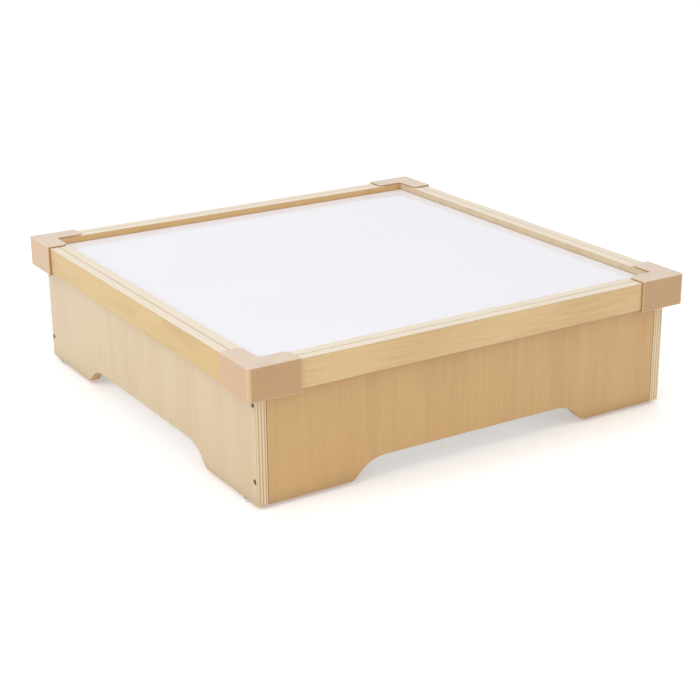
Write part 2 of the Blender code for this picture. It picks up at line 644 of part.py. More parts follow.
def make_jack(plate):
    """A snap-in barrel jack: a flange outside the plate, a socket and its centre pin."""
    x = POWER_OFFSET + JACK_OFFSET
    rear = -JACK_BARREL_LENGTH
    floor = JACK_FLANGE_THICKNESS - JACK_SOCKET_DEPTH
    profile = [(0.0, 0.0), (JACK_PIN_RADIUS, 0.0), (JACK_PIN_RADIUS, floor),
               (JACK_SOCKET_RADIUS, floor), (JACK_SOCKET_RADIUS, JACK_FLANGE_THICKNESS),
               (JACK_FLANGE_RADIUS, JACK_FLANGE_THICKNESS), (JACK_FLANGE_RADIUS, 0.0),
               (JACK_BARREL_RADIUS, 0.0), (JACK_BARREL_RADIUS, rear), (0.0, rear)]
    outward = (-math.pi / 2, 0, 0)
    turned("inlet_jack", profile, ROUND_SIDES, BLACK_PLASTIC, (x, PLATE_FACE_Y + SEAT_GAP, POWER_Z), outward)
    passage = cylinder("jack_passage", JACK_BARREL_RADIUS + SEAT_GAP, PLATE_THICKNESS + 2 * CUT_OVERRUN,
                       ROUND_SIDES, (x, PLATE_FACE_Y, POWER_Z), outward)
    cut_from(plate, passage)


# ---- Leads inside the box ----
def make_leads():
    """Jack to switch, switch to the last bar, and jumpers that zigzag from bar to bar."""
    lead_z = BASE_TOP_Z + LEAD_LIFT + LEAD_RADIUS
    jack_x = POWER_OFFSET + JACK_OFFSET
    switch_x = POWER_OFFSET + SWITCH_OFFSET
    jack_rear_y = PLATE_FACE_Y + SEAT_GAP - JACK_BARREL_LENGTH - SEAT_GAP
    switch_rear_y = BEZEL_FACE_Y - BEZEL_THICKNESS - SWITCH_DEPTH - SEAT_GAP
    terminal = 0.003
    loop_y = INNER_HALF_DEPTH - 0.016
    tube("lead_jack_to_switch",
         [(jack_x, jack_rear_y, POWER_Z), (jack_x, jack_rear_y - 0.008, POWER_Z),
          ((jack_x + switch_x) / 2, loop_y - 0.006, POWER_Z + 0.004),
          (switch_x, switch_rear_y - 0.008, POWER_Z + terminal),
          (switch_x, switch_rear_y, POWER_Z + terminal)], LEAD_RADIUS, LEAD_JACKET)
    cleat_top = CLEAT_Z + CLEAT_HEIGHT + LEAD_LIFT + LEAD_RADIUS
    cleat_front_y = INNER_HALF_DEPTH - SEAT_GAP - CLEAT_WIDTH
    last_y = bar_row(BAR_COUNT - 1)
    end_x = BAR_LENGTH / 2
    strip_z = STRIP_Z + STRIP_THICKNESS / 2
    strip_end = end_x + SEAT_GAP
    tube("lead_switch_to_bars",
         [(switch_x, switch_rear_y, POWER_Z - terminal - LEAD_RADIUS),
          (switch_x, switch_rear_y - 0.010, POWER_Z - 0.007),
          (switch_x + 0.002, loop_y, POWER_Z - 0.018),
          (switch_x + 0.006, loop_y, cleat_top + 0.006),
          (switch_x + 0.012, cleat_front_y - 0.005, cleat_top - 0.006),
          (switch_x + 0.024, cleat_front_y - 0.010, lead_z + 0.0025),
          (switch_x + 0.040, cleat_front_y - 0.015, lead_z + 0.0005),
          (end_x + 0.004, cleat_front_y - 0.020, lead_z),
          (end_x + 0.022, cleat_front_y - 0.040, lead_z),
          (end_x + 0.018, last_y + 0.008, lead_z),
          (end_x + 0.009, last_y, strip_z),
          (strip_end, last_y, strip_z)], LEAD_RADIUS, LEAD_JACKET)
    for number in range(BAR_COUNT - 1):
        side = -1 if (BAR_COUNT - number) % 2 == 0 else 1
        near_y = bar_row(number)
        far_y = bar_row(number + 1)
        tube(f"lead_jumper_{number + 1}",
             [(side * strip_end, near_y, strip_z), (side * (end_x + 0.009), near_y, strip_z),
              (side * (end_x + 0.019), near_y + 0.010, lead_z),
              (side * (end_x + 0.023), (near_y + far_y) / 2, lead_z),
              (side * (end_x + 0.019), far_y - 0.010, lead_z),
              (side * (end_x + 0.009), far_y, strip_z), (side * strip_end, far_y, strip_z)],
             LEAD_RADIUS, LEAD_JACKET)


def main():
    panels = make_panels()
    make_corner_screws(panels)
    make_glides(panels)
    make_trim()
    make_guards()
    make_sheet()
    make_ring("ledger", LEDGER_WIDTH, LEDGER_HEIGHT, LEDGER_Z, PINE)
    make_base()
    make_bars()
    plate = make_power_plate(panels["panel_back"])
    make_switch(plate)
    make_jack(plate)
    make_leads()


main()
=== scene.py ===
"""Looks of the low light table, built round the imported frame. Metres, +Z up, front towards -Y."""
import json
import math

import bmesh
import bpy
from mathutils import Matrix, Vector


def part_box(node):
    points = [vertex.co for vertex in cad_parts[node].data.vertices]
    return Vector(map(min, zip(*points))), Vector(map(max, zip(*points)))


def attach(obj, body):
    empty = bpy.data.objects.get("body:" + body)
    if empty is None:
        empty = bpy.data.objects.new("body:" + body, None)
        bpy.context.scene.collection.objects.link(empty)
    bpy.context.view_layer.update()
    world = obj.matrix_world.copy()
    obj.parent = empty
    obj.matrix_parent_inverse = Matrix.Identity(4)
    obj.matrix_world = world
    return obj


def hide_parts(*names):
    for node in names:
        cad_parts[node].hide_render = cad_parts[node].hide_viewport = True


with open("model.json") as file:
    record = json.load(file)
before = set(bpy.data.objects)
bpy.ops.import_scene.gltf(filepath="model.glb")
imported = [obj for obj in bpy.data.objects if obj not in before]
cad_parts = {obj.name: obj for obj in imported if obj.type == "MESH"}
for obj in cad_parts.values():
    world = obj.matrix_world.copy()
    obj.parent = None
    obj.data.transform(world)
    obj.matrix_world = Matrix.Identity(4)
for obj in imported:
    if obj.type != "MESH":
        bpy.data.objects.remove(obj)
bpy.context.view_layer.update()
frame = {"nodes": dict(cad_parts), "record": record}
TABLE = "table"
SLOTS = {row["node"]: row["material_slot"] for row in frame["record"]["subparts"]}
BODY_OF = {node: body for body, nodes in frame["record"]["behaviour"]["bodies"].items()
           for node in nodes}

# ---- Camera and light ----
CAMERA_PLACE = (-1.1395, -1.8405, 0.8310)
CAMERA_AZIMUTH = 32.04       # degrees from +Y towards +X
CAMERA_TILT = 19.947         # degrees down
CAMERA_ROLL = -0.464
CAMERA_LENS = 80.69          # mm
CAMERA_SENSOR = 36.0         # mm
CAMERA_REACH = 100.0
WORLD_COLOR = (1.0, 1.0, 1.0)
WORLD_STRENGTH = 0.80
FLOOR_GLOW = 0.24            # the sweep is lit from below, so it stays paper white
FLOOR_SIZE = 20.0
FLOOR_DROP = 0.0002          # below the glides, so that the two don't share a plane
LIGHT_AIM = (0.0, 0.0, 0.1)
# Each softbox: place, side, power in watts
SOFTBOXES = {"key": ((-2.8, -0.5, 2.2), 1.8, 36.0), "top": ((0.3, 0.6, 3.0), 2.5, 25.0)}


# ---- Material building ----
class Shader:
    """A Principled material and short calls that add nodes to it."""

    def __init__(self, name):
        self.material = bpy.data.materials.new(name)
        self.material.use_nodes = True
        self.tree = self.material.node_tree
        self.surface = self.tree.nodes["Principled BSDF"]
        self.place = self.node("ShaderNodeTexCoord").outputs["Object"]

    def node(self, kind, inputs=None, **settings):
        made = self.tree.nodes.new(kind)
        for key, value in settings.items():
            setattr(made, key, value)
        for key, value in (inputs or {}).items():
            self.feed(made.inputs[key], value)
        return made

    def feed(self, socket, value):
        if isinstance(value, bpy.types.NodeSocket):
            self.tree.links.new(value, socket)
        elif isinstance(value, (tuple, list)) and len(value) == 3 and socket.type == "RGBA":
            socket.default_value = (*value, 1.0)
        else:
            socket.default_value = value

    def set(self, **inputs):
        for key, value in inputs.items():
            self.feed(self.surface.inputs[key.replace("_", " ").title().replace("Ior", "IOR")], value)
        return self

    def math(self, operation, first, second=0.5, clamp=False):
        return self.node("ShaderNodeMath", {0: first, 1: second}, operation=operation,
                         use_clamp=clamp).outputs[0]

    def stretched(self, scale, offset=(0.0, 0.0, 0.0), source=None):
        """The object's coordinates, scaled by features per metre along each axis."""
        return self.node("ShaderNodeMapping", {"Vector": source or self.place, "Scale": scale,
                                               "Location": offset}).outputs[0]

    def noise(self, scale, detail=3.0, roughness=0.55, distortion=0.0, offset=(0.0, 0.0, 0.0),
              source=None):
        vector = self.stretched(scale, offset, source)
        made = self.node("ShaderNodeTexNoise", {"Vector": vector, "Scale": 1.0, "Detail": detail,
                                                "Roughness": roughness, "Distortion": distortion})
        return made.outputs["Fac"]

    def remap(self, value, low, high, to_low=0.0, to_high=1.0):
        return self.node("ShaderNodeMapRange", {"Value": value, "From Min": low, "From Max": high,
                                                "To Min": to_low, "To Max": to_high}).outputs[0]

    def ramp(self, value, stops):
        made = self.node("ShaderNodeValToRGB", {"Fac": value})
        ramp = made.color_ramp
        while len(ramp.elements) < len(stops):
            ramp.elements.new(0.5)
        for element, (position, color) in zip(ramp.elements, stops):
            element.position = position
            element.color = (*color, 1.0)
        return made.outputs["Color"]

    def mix(self, factor, first, second, blend="MIX"):
        made = self.node("ShaderNodeMix", data_type="RGBA", blend_type=blend)
        self.feed(made.inputs[0], factor)
        self.feed(made.inputs[6], first)
        self.feed(made.inputs[7], second)
        return made.outputs[2]

    def painted_shade(self, color, shade_color, reach, strength):
        """Darkens a colour where another surface comes close: painted shade in creases, joints and under
        overhangs.
        """
        occlusion = self.node("ShaderNodeAmbientOcclusion", {"Distance": reach}, samples=6)
        return self.mix(self.remap(occlusion.outputs["AO"], 0.35, 0.85, strength, 0.0), color, shade_color)

    def bump(self, height, distance, strength=1.0):
        inputs = {"Height": height, "Distance": distance, "Strength": strength}
        return self.node("ShaderNodeBump", inputs).outputs[0]


def along(axis, grain, across):
    """Feature counts per metre: grain along the given axis, across on the other two."""
    return tuple(grain if letter == axis else across for letter in "XYZ")


def even(count):
    """The same feature count per metre on all three axes."""
    return (count,) * 3


def shade(color, factor):
    """A colour times one factor, or times one factor for each channel."""
    factors = factor if isinstance(factor, tuple) else (factor,) * 3
    return tuple(min(1.0, channel * share) for channel, share in zip(color, factors))


# Features per metre along and across the grain, for each layer of a veneer's figure
DRIFT = (3.2, 13.0)
BROAD = (1.8, 22.0)
LINES = (8.0, 310.0)
RINGS = (1.2, 20.0)
CLOUD = (5.0, 11.0)
FIBRE = (70.0, 1500.0)
FLECKS = (190.0, 700.0)
PORES = (150.0, 1250.0)
FACE_SEED_STEP = (1.37, 2.11, 0.73)
OVERHANG_PAINTED_SHADE = (0.030, 0.80)   # reach in metres and strength of the painted shade under an overhang
# A shorter, weaker painted shade for the inner faces.
INSIDE_PAINTED_SHADE = (0.004, 0.35)


def birch_face(name, axis, look, seed, painted_shade_reach=OVERHANG_PAINTED_SHADE):
    """Lacquered rotary-cut birch veneer: soft figure, fine flowing lines, pores and fibre.

    axis is the grain's. The last argument is the reach and the strength of the painted shade under an
    overhang."""
    make = Shader(name)
    tone, warm = look["tone"], look["warm"]
    shift = tuple(seed * step for step in FACE_SEED_STEP)
    sway = make.math("SUBTRACT", make.noise(along(axis, *DRIFT), 2.5, 0.5, 0.0, shift))
    drift = make.math("MULTIPLY", sway, look["wander"])
    across = {letter: drift for letter in "XYZ" if letter != axis}
    bend = make.node("ShaderNodeCombineXYZ", across).outputs[0]
    flow = make.node("ShaderNodeVectorMath", {0: make.place, 1: bend}, operation="ADD").outputs[0]
    broad = make.noise(along(axis, *BROAD), 3.0, 0.55, 0.5, shift, flow)
    lines = make.noise(along(axis, *LINES), 5.0, 0.65, 0.3, shift, flow)
    rings = make.node("ShaderNodeTexWave", {"Vector": make.stretched(along(axis, *RINGS), shift, flow),
                                            "Scale": 1.0, "Distortion": 2.2, "Detail": 3.0,
                                            "Detail Scale": 1.2}, wave_profile="SIN").outputs["Fac"]
    cloud = make.noise(along(axis, *CLOUD), 2.0, 0.5, 0.0, shift)
    fibre = make.noise(along(axis, *FIBRE), 2.0, 0.6, 0.0, shift)
    flecks = make.noise(along(axis, *FLECKS), 2.0, 0.5, 0.0, shift)
    grain = make.math("MULTIPLY", broad, look["broad"])
    grain = make.math("ADD", grain, make.math("MULTIPLY", lines, look["lines"]))
    grain = make.math("ADD", grain, make.math("MULTIPLY", rings, look["rings"]))
    middle = 0.5 * (look["broad"] + look["lines"] + look["rings"])
    color = make.ramp(grain, [(middle - 0.15, shade(tone, 1.07)), (middle - 0.03, tone),
                              (middle + 0.07, warm), (middle + 0.18, shade(warm, 0.86))])
    color = make.mix(make.remap(cloud, 0.35, 0.70, 0.0, 0.35), color, shade(tone, 1.04))
    pores = make.noise(along(axis, *PORES), 1.0, 0.5, 0.0, shift)
    color = make.mix(make.remap(pores, 0.64, 0.76, 0.0, 0.20), color, shade(warm, 0.62))
    color = make.mix(make.remap(flecks, 0.35, 0.75, 0.0, 0.16), color, shade(warm, 0.80))
    color = make.mix(make.remap(fibre, 0.3, 0.75, 0.0, 0.12), color, shade(warm, 0.78))
    # Painted shade: the veneer is darkened under overhangs and where other surfaces come close.
    color = make.painted_shade(color, shade(warm, 0.50), *painted_shade_reach)
    relief = make.math("ADD", make.math("MULTIPLY", lines, 0.6), make.math("MULTIPLY", fibre, 0.4))
    make.set(base_color=color, roughness=make.remap(lines, 0.2, 0.8, 0.40, 0.54),
             normal=make.bump(relief, 0.00010, 0.5), coat_weight=0.55, coat_roughness=0.26,
             sheen_weight=0.05, sheen_roughness=0.5)
    return make.material


PLY_PAIRS = 3.5              # seven plies: wide light long-grain ones, narrow dark end-grain ones
PLY_LIGHT = (0.80, 0.665, 0.435)
PLY_DARK = (0.56, 0.375, 0.185)
PLY_GLUE = (0.42, 0.25, 0.115)
JOINT_SHARE = 0.030          # part of the board's thickness that the dark outer arris takes
EDGE_SEED_STEP = (0.91, 1.77, 1.13)
PLY_WOBBLE = 0.015           # of the board's thickness
SAWN_GRAIN = (18.0, 900.0)   # features per metre along and across the edge


def blended(first, second, share):
    return tuple(a + (b - a) * share for a, b in zip(first, second))


def birch_edge(name, axis, start, thickness, grain_axis, seed, contrast, tint):
    """A sawn and lacquered plywood edge: seven plies across its thickness, with glue lines."""
    make = Shader(name)
    light = shade(PLY_LIGHT, tint)
    dark = shade(blended(PLY_LIGHT, PLY_DARK, contrast), tint)
    glue = shade(blended(PLY_LIGHT, PLY_GLUE, contrast), tint)
    shift = tuple(seed * step for step in EDGE_SEED_STEP)
    parts = make.node("ShaderNodeSeparateXYZ", {0: make.place})
    from_face = make.math("SUBTRACT", parts.outputs["XYZ".index(axis)], start)
    depth = make.math("DIVIDE", from_face, thickness)
    wobble = make.noise(even(28.0), 2.0, 0.5, 0.0, shift)
    wobble = make.remap(wobble, 0.0, 1.0, -PLY_WOBBLE, PLY_WOBBLE)
    pair = make.math("FRACT", make.math("MULTIPLY", make.math("ADD", depth, wobble), PLY_PAIRS))
    plies = make.ramp(pair, [(0.0, glue), (0.05, light), (0.62, light), (0.67, glue),
                             (0.72, dark), (0.92, dark), (1.0, glue)])
    rough_grain = make.noise(along(grain_axis, *SAWN_GRAIN), 3.0, 0.6, 0.0, shift)
    speckle = make.noise(even(1100.0), 2.0, 0.6, 0.0, shift)
    color = make.mix(make.remap(rough_grain, 0.35, 0.75, 0.0, 0.30), plies, shade(light, 0.86))
    color = make.mix(make.remap(speckle, 0.62, 0.75, 0.0, 0.25), color, glue)
    cloud = make.noise(even(9.0), 2.0, 0.5, 0.0, shift)
    color = make.mix(make.remap(cloud, 0.35, 0.75, 0.0, 0.30), color, shade(light, 1.04))
    side = make.math("ABSOLUTE", make.math("SUBTRACT", depth, 0.5))
    arris = make.remap(side, 0.5 - 1.6 * JOINT_SHARE, 0.5 - 0.7 * JOINT_SHARE, 0.0, 1.0)
    patches = make.noise(even(16.0), 3.0, 0.6, 0.0, shift)
    patches = make.remap(patches, 0.35, 0.65, 0.45, 0.95)
    color = make.mix(make.math("MULTIPLY", arris, patches), color, shade(shade(PLY_GLUE, 0.80), tint))
    # Painted shade on the sawn edge where another surface comes close.
    color = make.painted_shade(color, shade(shade(PLY_GLUE, 0.7), tint), 0.005, 0.75)
    make.set(base_color=color, roughness=make.remap(speckle, 0.3, 0.8, 0.42, 0.60),
             normal=make.bump(rough_grain, 0.00015, 0.5), coat_weight=0.35, coat_roughness=0.32,
             sheen_weight=0.05, sheen_roughness=0.5)
    return make.material


# Painted light: the pale colour mixed into the guards' upward faces.
GUARD_LIT_TOP = (0.86, 0.80, 0.70)
GUARD_BODY = ((0.435, 0.235, 0.078), (0.465, 0.257, 0.092))
GUARD_EDGE_HIGHLIGHT = ((0.560, 0.350, 0.170), (0.600, 0.385, 0.195))    # a lighter copy for the rounded edges: a painted highlight
# Painted shade in the crease where a guard meets the trim.
GUARD_PAINTED_SHADE = (0.300, 0.110, 0.030)


def guard_plastic(name, low_tone, high_tone):
    """Soft moulded plastic: fine spark-eroded grain and a faint mottle, with painted light on upward
    faces and painted shade in the crease by the trim.
    """
    make = Shader(name)
    mottle = make.noise(even(35.0), 3.0, 0.6)
    fine = make.noise(even(2600.0), 2.0, 0.5)
    color = make.ramp(mottle, [(0.30, low_tone), (0.70, high_tone)])
    facing = make.node("ShaderNodeNewGeometry").outputs["Normal"]
    upward = make.node("ShaderNodeSeparateXYZ", {0: facing}).outputs["Z"]
    # Painted light: upward faces are painted paler, mottled.
    lit_top = make.math("MULTIPLY", make.remap(upward, 0.55, 0.98, 0.0, 0.42),
                     make.remap(mottle, 0.2, 0.8, 0.75, 1.1))
    color = make.mix(lit_top, color, GUARD_LIT_TOP)
    # Painted shade along the crease against the trim.
    color = make.painted_shade(color, GUARD_PAINTED_SHADE, 0.0016, 0.85)
    make.set(base_color=color, roughness=make.remap(mottle, 0.3, 0.7, 0.42, 0.54),
             normal=make.bump(fine, 0.00006, 0.6), subsurface_weight=0.06, subsurface_scale=0.002,
             coat_weight=1.0, coat_roughness=0.36, coat_ior=1.60, sheen_weight=0.34,
             sheen_roughness=0.36)
    return make.material


def opal_acrylic():
    """Milky acrylic with polished faces; a trace of haze and hairline scratches in its gloss."""
    make = Shader("opal_acrylic")
    haze = make.noise(even(6.0), 3.0, 0.5)
    scratches = make.noise((40.0, 2200.0, 40.0), 2.0, 0.5, 0.0)
    color = make.ramp(haze, [(0.35, (0.765, 0.756, 0.798)), (0.65, (0.777, 0.769, 0.808))])
    gloss = make.math("ADD", make.remap(haze, 0.3, 0.7, 0.035, 0.060),
                      make.remap(scratches, 0.72, 0.80, 0.0, 0.05))
    make.set(base_color=color, roughness=gloss, IOR=1.49, subsurface_weight=0.25,
             subsurface_scale=0.004)
    make.surface.inputs["Subsurface Radius"].default_value = (1.0, 1.0, 1.0)
    return make.material


def pine_strip():
    make = Shader("pine_strip")
    streak = make.noise(even(160.0), 3.0, 0.6)
    bands = make.noise((22.0, 22.0, 90.0), 2.0, 0.5, 0.4)
    color = make.ramp(bands, [(0.30, (0.78, 0.60, 0.38)), (0.55, (0.70, 0.50, 0.29)),
                              (0.75, (0.60, 0.40, 0.21))])
    color = make.mix(make.remap(streak, 0.4, 0.7, 0.0, 0.25), color, (0.52, 0.34, 0.18))
    make.set(base_color=color, roughness=make.remap(streak, 0.3, 0.7, 0.55, 0.70),
             normal=make.bump(streak, 0.0002, 0.4))
    return make.material


def white_board():
    """White-faced hardboard: a faint orange-peel in the paint and a little dust."""
    make = Shader("white_board")
    peel = make.noise(even(420.0), 2.0, 0.5)
    lit_top = make.noise(even(7.0), 4.0, 0.6)
    color = make.ramp(lit_top, [(0.35, (0.80, 0.80, 0.78)), (0.70, (0.73, 0.72, 0.69))])
    make.set(base_color=color, roughness=make.remap(lit_top, 0.3, 0.7, 0.42, 0.56),
             normal=make.bump(peel, 0.0001, 0.4))
    return make.material


def moulded(name, light, dark, rough, grain=1800.0):
    """A moulded plastic with a fine grain and slight handling marks in its sheen."""
    make = Shader(name)
    fine = make.noise(even(grain), 2.0, 0.5)
    marks = make.noise(even(60.0), 4.0, 0.6)
    color = make.ramp(marks, [(0.35, light), (0.70, dark)])
    make.set(base_color=color, roughness=make.remap(marks, 0.3, 0.7, rough - 0.06, rough + 0.08),
             normal=make.bump(fine, 0.00004, 0.5))
    return make.material


def metal(name, light, dark, rough, metallic, brushed=even(900.0)):
    make = Shader(name)
    brush = make.noise(brushed, 3.0, 0.6)
    tarnish = make.noise(even(45.0), 4.0, 0.6)
    color = make.ramp(tarnish, [(0.35, light), (0.70, dark)])
    make.set(base_color=color, metallic=metallic,
             roughness=make.remap(brush, 0.3, 0.7, rough - 0.07, rough + 0.09),
             normal=make.bump(brush, 0.00003, 0.5))
    return make.material


# ---- Pieces made from the CAD solids ----
def fastener_boxes():
    names = [node for node in frame["nodes"] if "screw" in node or node.startswith("glide")]
    return [[Vector(corner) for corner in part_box(name)] for name in names]


FASTENERS = fastener_boxes()
HOLE_MARGIN = 0.0015


def near_fastener(point):
    return any(all(low[i] - HOLE_MARGIN <= point[i] <= high[i] + HOLE_MARGIN for i in range(3))
               for low, high in FASTENERS)


def solid_copy(node):
    """The CAD solid as an editable bmesh, with its flat faces whole again."""
    source = frame["nodes"][node].data
    bm = bmesh.new()
    corners = [bm.verts.new(vertex.co) for vertex in source.vertices]
    bmesh.ops.remove_doubles(bm, verts=bm.verts, dist=0.0)
    for polygon in source.polygons:
        bm.faces.new([corners[index] for index in polygon.vertices])
    bmesh.ops.remove_doubles(bm, verts=bm.verts, dist=1e-6)
    bmesh.ops.recalc_face_normals(bm, faces=bm.faces)
    bmesh.ops.dissolve_limit(bm, angle_limit=math.radians(0.4), verts=bm.verts, edges=bm.edges)
    return bm


def sharp_edges(bm, angle, choose):
    edges = []
    for edge in bm.edges:
        if len(edge.link_faces) == 2 and edge.calc_face_angle(0.0) > math.radians(angle):
            middle = (edge.verts[0].co + edge.verts[1].co) / 2
            if choose(middle):
                edges.append(edge)
    return edges


SMOOTH_ANGLE = 42.0          # degrees; faces that meet at less are shaded as one


def finish_piece(node, bm, materials, choose_slot=None, smooth_angle=SMOOTH_ANGLE):
    """Turns a bmesh into the shown piece that stands for a CAD node and rides on its body."""
    mesh = bpy.data.meshes.new(node + "_shown")
    for face in bm.faces:
        face.smooth = True
        if choose_slot is not None:
            face.material_index = choose_slot(face)
    bm.to_mesh(mesh)
    bm.free()
    for material in materials:
        mesh.materials.append(material)
    mesh.set_sharp_from_angle(angle=math.radians(smooth_angle))
    piece = bpy.data.objects.new(node + "_shown", mesh)
    bpy.context.scene.collection.objects.link(piece)
    piece.modifiers.new("flat_faces_stay_flat", "WEIGHTED_NORMAL").keep_sharp = True
    bake_modifiers(piece)
    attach(piece, BODY_OF[node])
    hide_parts(node)
    return piece


def refine(node, materials, width, segments=3, angle=30.0, choose=None, choose_slot=None):
    """Rounds the edges of a CAD solid that the eye can reach."""
    bm = solid_copy(node)
    edges = sharp_edges(bm, angle, choose or (lambda middle: not near_fastener(middle)))
    bmesh.ops.bevel(bm, geom=edges, offset=width, segments=segments, profile=0.5, affect="EDGES",
                    clamp_overlap=True)
    return finish_piece(node, bm, materials, choose_slot)


# Tones of the sawn and inner faces, as factors of the face's own red, green and blue
END_TINT = (0.90, 0.86, 0.80)
# Painted light: the top edges are paler and bluer than the other sawn faces.
TOP_PAINTED_LIGHT = (0.955, 1.01, 1.22)
# Painted shade: the downward sawn faces of the feet and arches are darker.
FOOT_PAINTED_SHADE = (0.70, 0.47, 0.29)
# Painted light: the inner faces are lighter than the outer ones.
INSIDE_PAINTED_LIGHT = (1.28, 1.33, 1.48)
PANEL_FIGURE = {"broad": 0.38, "lines": 0.24, "rings": 0.015, "wander": 0.010}
TRIM_FIGURE = {"broad": 0.12, "lines": 0.55, "rings": 0.14, "wander": 0.050}
PANEL_FRONT = {"tone": (0.585, 0.355, 0.132), "warm": (0.530, 0.303, 0.102), **PANEL_FIGURE}
PANEL_SIDE = {"tone": (0.545, 0.413, 0.238), "warm": (0.512, 0.370, 0.200), **PANEL_FIGURE}
TRIM_FRONT = {"tone": (0.655, 0.455, 0.210), "warm": (0.600, 0.395, 0.160), **TRIM_FIGURE}
TRIM_SIDE = {"tone": (0.520, 0.340, 0.096), "warm": (0.470, 0.290, 0.066), **TRIM_FIGURE}
EDGE_ROUND = 0.0008
FACE_SLOT, END_SLOT, TOP_SLOT, FOOT_SLOT, INSIDE_SLOT = range(5)
TOP_BAND = 0.002             # how far below the rim a face still counts as the top edge


def make_panels_and_trim():
    """Each board has its own veneer figure, with the ply edges on every sawn face."""
    looks = {
        "panel_front": ("Y", "Z", PANEL_FRONT), "panel_back": ("Y", "Z", PANEL_FRONT),
        "panel_left": ("X", "Z", PANEL_SIDE), "panel_right": ("X", "Z", PANEL_SIDE),
        "trim_front": ("Y", "X", TRIM_FRONT), "trim_back": ("Y", "X", TRIM_FRONT),
        "trim_left": ("X", "Y", TRIM_SIDE), "trim_right": ("X", "Y", TRIM_SIDE),
    }
    for seed, (node, (axis, grain, look)) in enumerate(looks.items(), start=1):
        low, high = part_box(node)
        index = "XYZ".index(axis)
        long_axis = "X" if axis == "Y" else "Y"
        facts = (axis, low[index], high[index] - low[index], long_axis, seed)
        inside = {**look, "tone": shade(look["tone"], INSIDE_PAINTED_LIGHT),
                  "warm": shade(look["warm"], INSIDE_PAINTED_LIGHT)}
        # The top edge is painted paler, with weaker plies, as painted light; the foot darker as painted
        # shade; the inner face lighter as painted light.
        materials = [birch_face(node + "_face", grain, look, seed),
                     birch_edge(node + "_end", *facts, 1.0, END_TINT),
                     birch_edge(node + "_top", *facts, 0.40, TOP_PAINTED_LIGHT),
                     birch_edge(node + "_foot", *facts, 0.9, FOOT_PAINTED_SHADE),
                     birch_face(node + "_inside", grain, inside, seed, INSIDE_PAINTED_SHADE)]

        def slot(face, index=index, top=high[2], middle=(low[index] + high[index]) / 2):
            if abs(face.normal[index]) > 0.9:
                return INSIDE_SLOT if face.normal[index] * middle < 0 else FACE_SLOT
            if face.calc_center_median().z > top - TOP_BAND:
                return TOP_SLOT
            return FOOT_SLOT if face.normal.z < -0.15 else END_SLOT

        refine(node, materials, EDGE_ROUND, choose_slot=slot)


GUARD_ROUND = 0.0009
GUARD_WALL_BAND = 0.0013     # how close to the outer walls an edge counts as outside
GUARD_FACE_BAND = 0.0002     # and to the top and the underside
BODY_SLOT, HIGHLIGHT_SLOT = range(2)


def make_guards(materials):
    """Softly rounded outside; the trim space inside stays as the CAD has it."""
    for node in [name for name in frame["nodes"] if name.startswith("corner_guard")]:
        low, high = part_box(node)
        outer = [low[i] if abs(low[i]) > abs(high[i]) else high[i] for i in range(2)]

        def outside(middle):
            on_wall = any(abs(middle[i] - outer[i]) < GUARD_WALL_BAND for i in range(2))
            on_top = middle.z > high[2] - GUARD_FACE_BAND
            return on_top or middle.z < low[2] + GUARD_FACE_BAND or on_wall

        def slot(face):
            return BODY_SLOT if max(abs(part) for part in face.normal) > 0.995 else HIGHLIGHT_SLOT

        refine(node, materials, GUARD_ROUND, 3, 35.0, outside, slot)


SMALL_ROUNDS = {"top_sheet": 0.0004, "ledger": 0.0006, "base_cleat": 0.0006, "base_board": 0.0004,
                "led_channel": 0.0002, "led_strip": 0.0002, "power_plate": 0.0006,
                "switch_body": 0.0004, "switch_rocker": 0.0004, "inlet_jack": 0.0002,
                "glide": 0.0004}


def make_small_solids(materials):
    """The rest of the CAD solids, each with an edge rounding of its own size."""
    for node in frame["nodes"]:
        for start, width in SMALL_ROUNDS.items():
            if node.startswith(start):
                refine(node, [materials[SLOTS[node]]], width, 2, 40.0)
        if node.startswith("lead_"):
            finish_piece(node, solid_copy(node), [materials[SLOTS[node]]], smooth_angle=60.0)


# ---- Screws ----
RECESS_WIDTH = 0.0009
RECESS_REACH = 0.0021
RECESS_DEPTH = 0.0016
RECESS_ABOVE = 0.001         # how far the cutter stands above the head
RECESS_TURN = 0.4            # radians, the same on every screw
RECESS_FLOOR_REACH = 0.35    # share of the mouth's reach left at the bottom
RECESS_FLOOR_WIDTH = 0.6


def cross_cutter(center, direction):
    """A tapered cross, as a driver leaves in a screw head."""
    bm = bmesh.new()
    for turn in (0.0, math.pi / 2):
        made = bmesh.ops.create_cube(bm, size=1.0)["verts"]
        for vert in made:
            deep = vert.co.z < 0
            reach = RECESS_REACH * (RECESS_FLOOR_REACH if deep else 1.0)
            width = RECESS_WIDTH * (RECESS_FLOOR_WIDTH if deep else 1.0)
            level = -RECESS_DEPTH if deep else RECESS_ABOVE
            vert.co = Vector((vert.co.x * 2 * reach, vert.co.y * width, level))
            vert.co.rotate(Matrix.Rotation(turn + RECESS_TURN, 3, "Z"))
    mesh = bpy.data.meshes.new("cross")
    bm.to_mesh(mesh)
    bm.free()
    cutter = bpy.data.objects.new("cross", mesh)
    turn = Vector((0, 0, 1)).rotation_difference(direction).to_matrix().to_4x4()
    cutter.matrix_world = Matrix.Translation(center) @ turn
    bpy.context.scene.collection.objects.link(cutter)
    return cutter


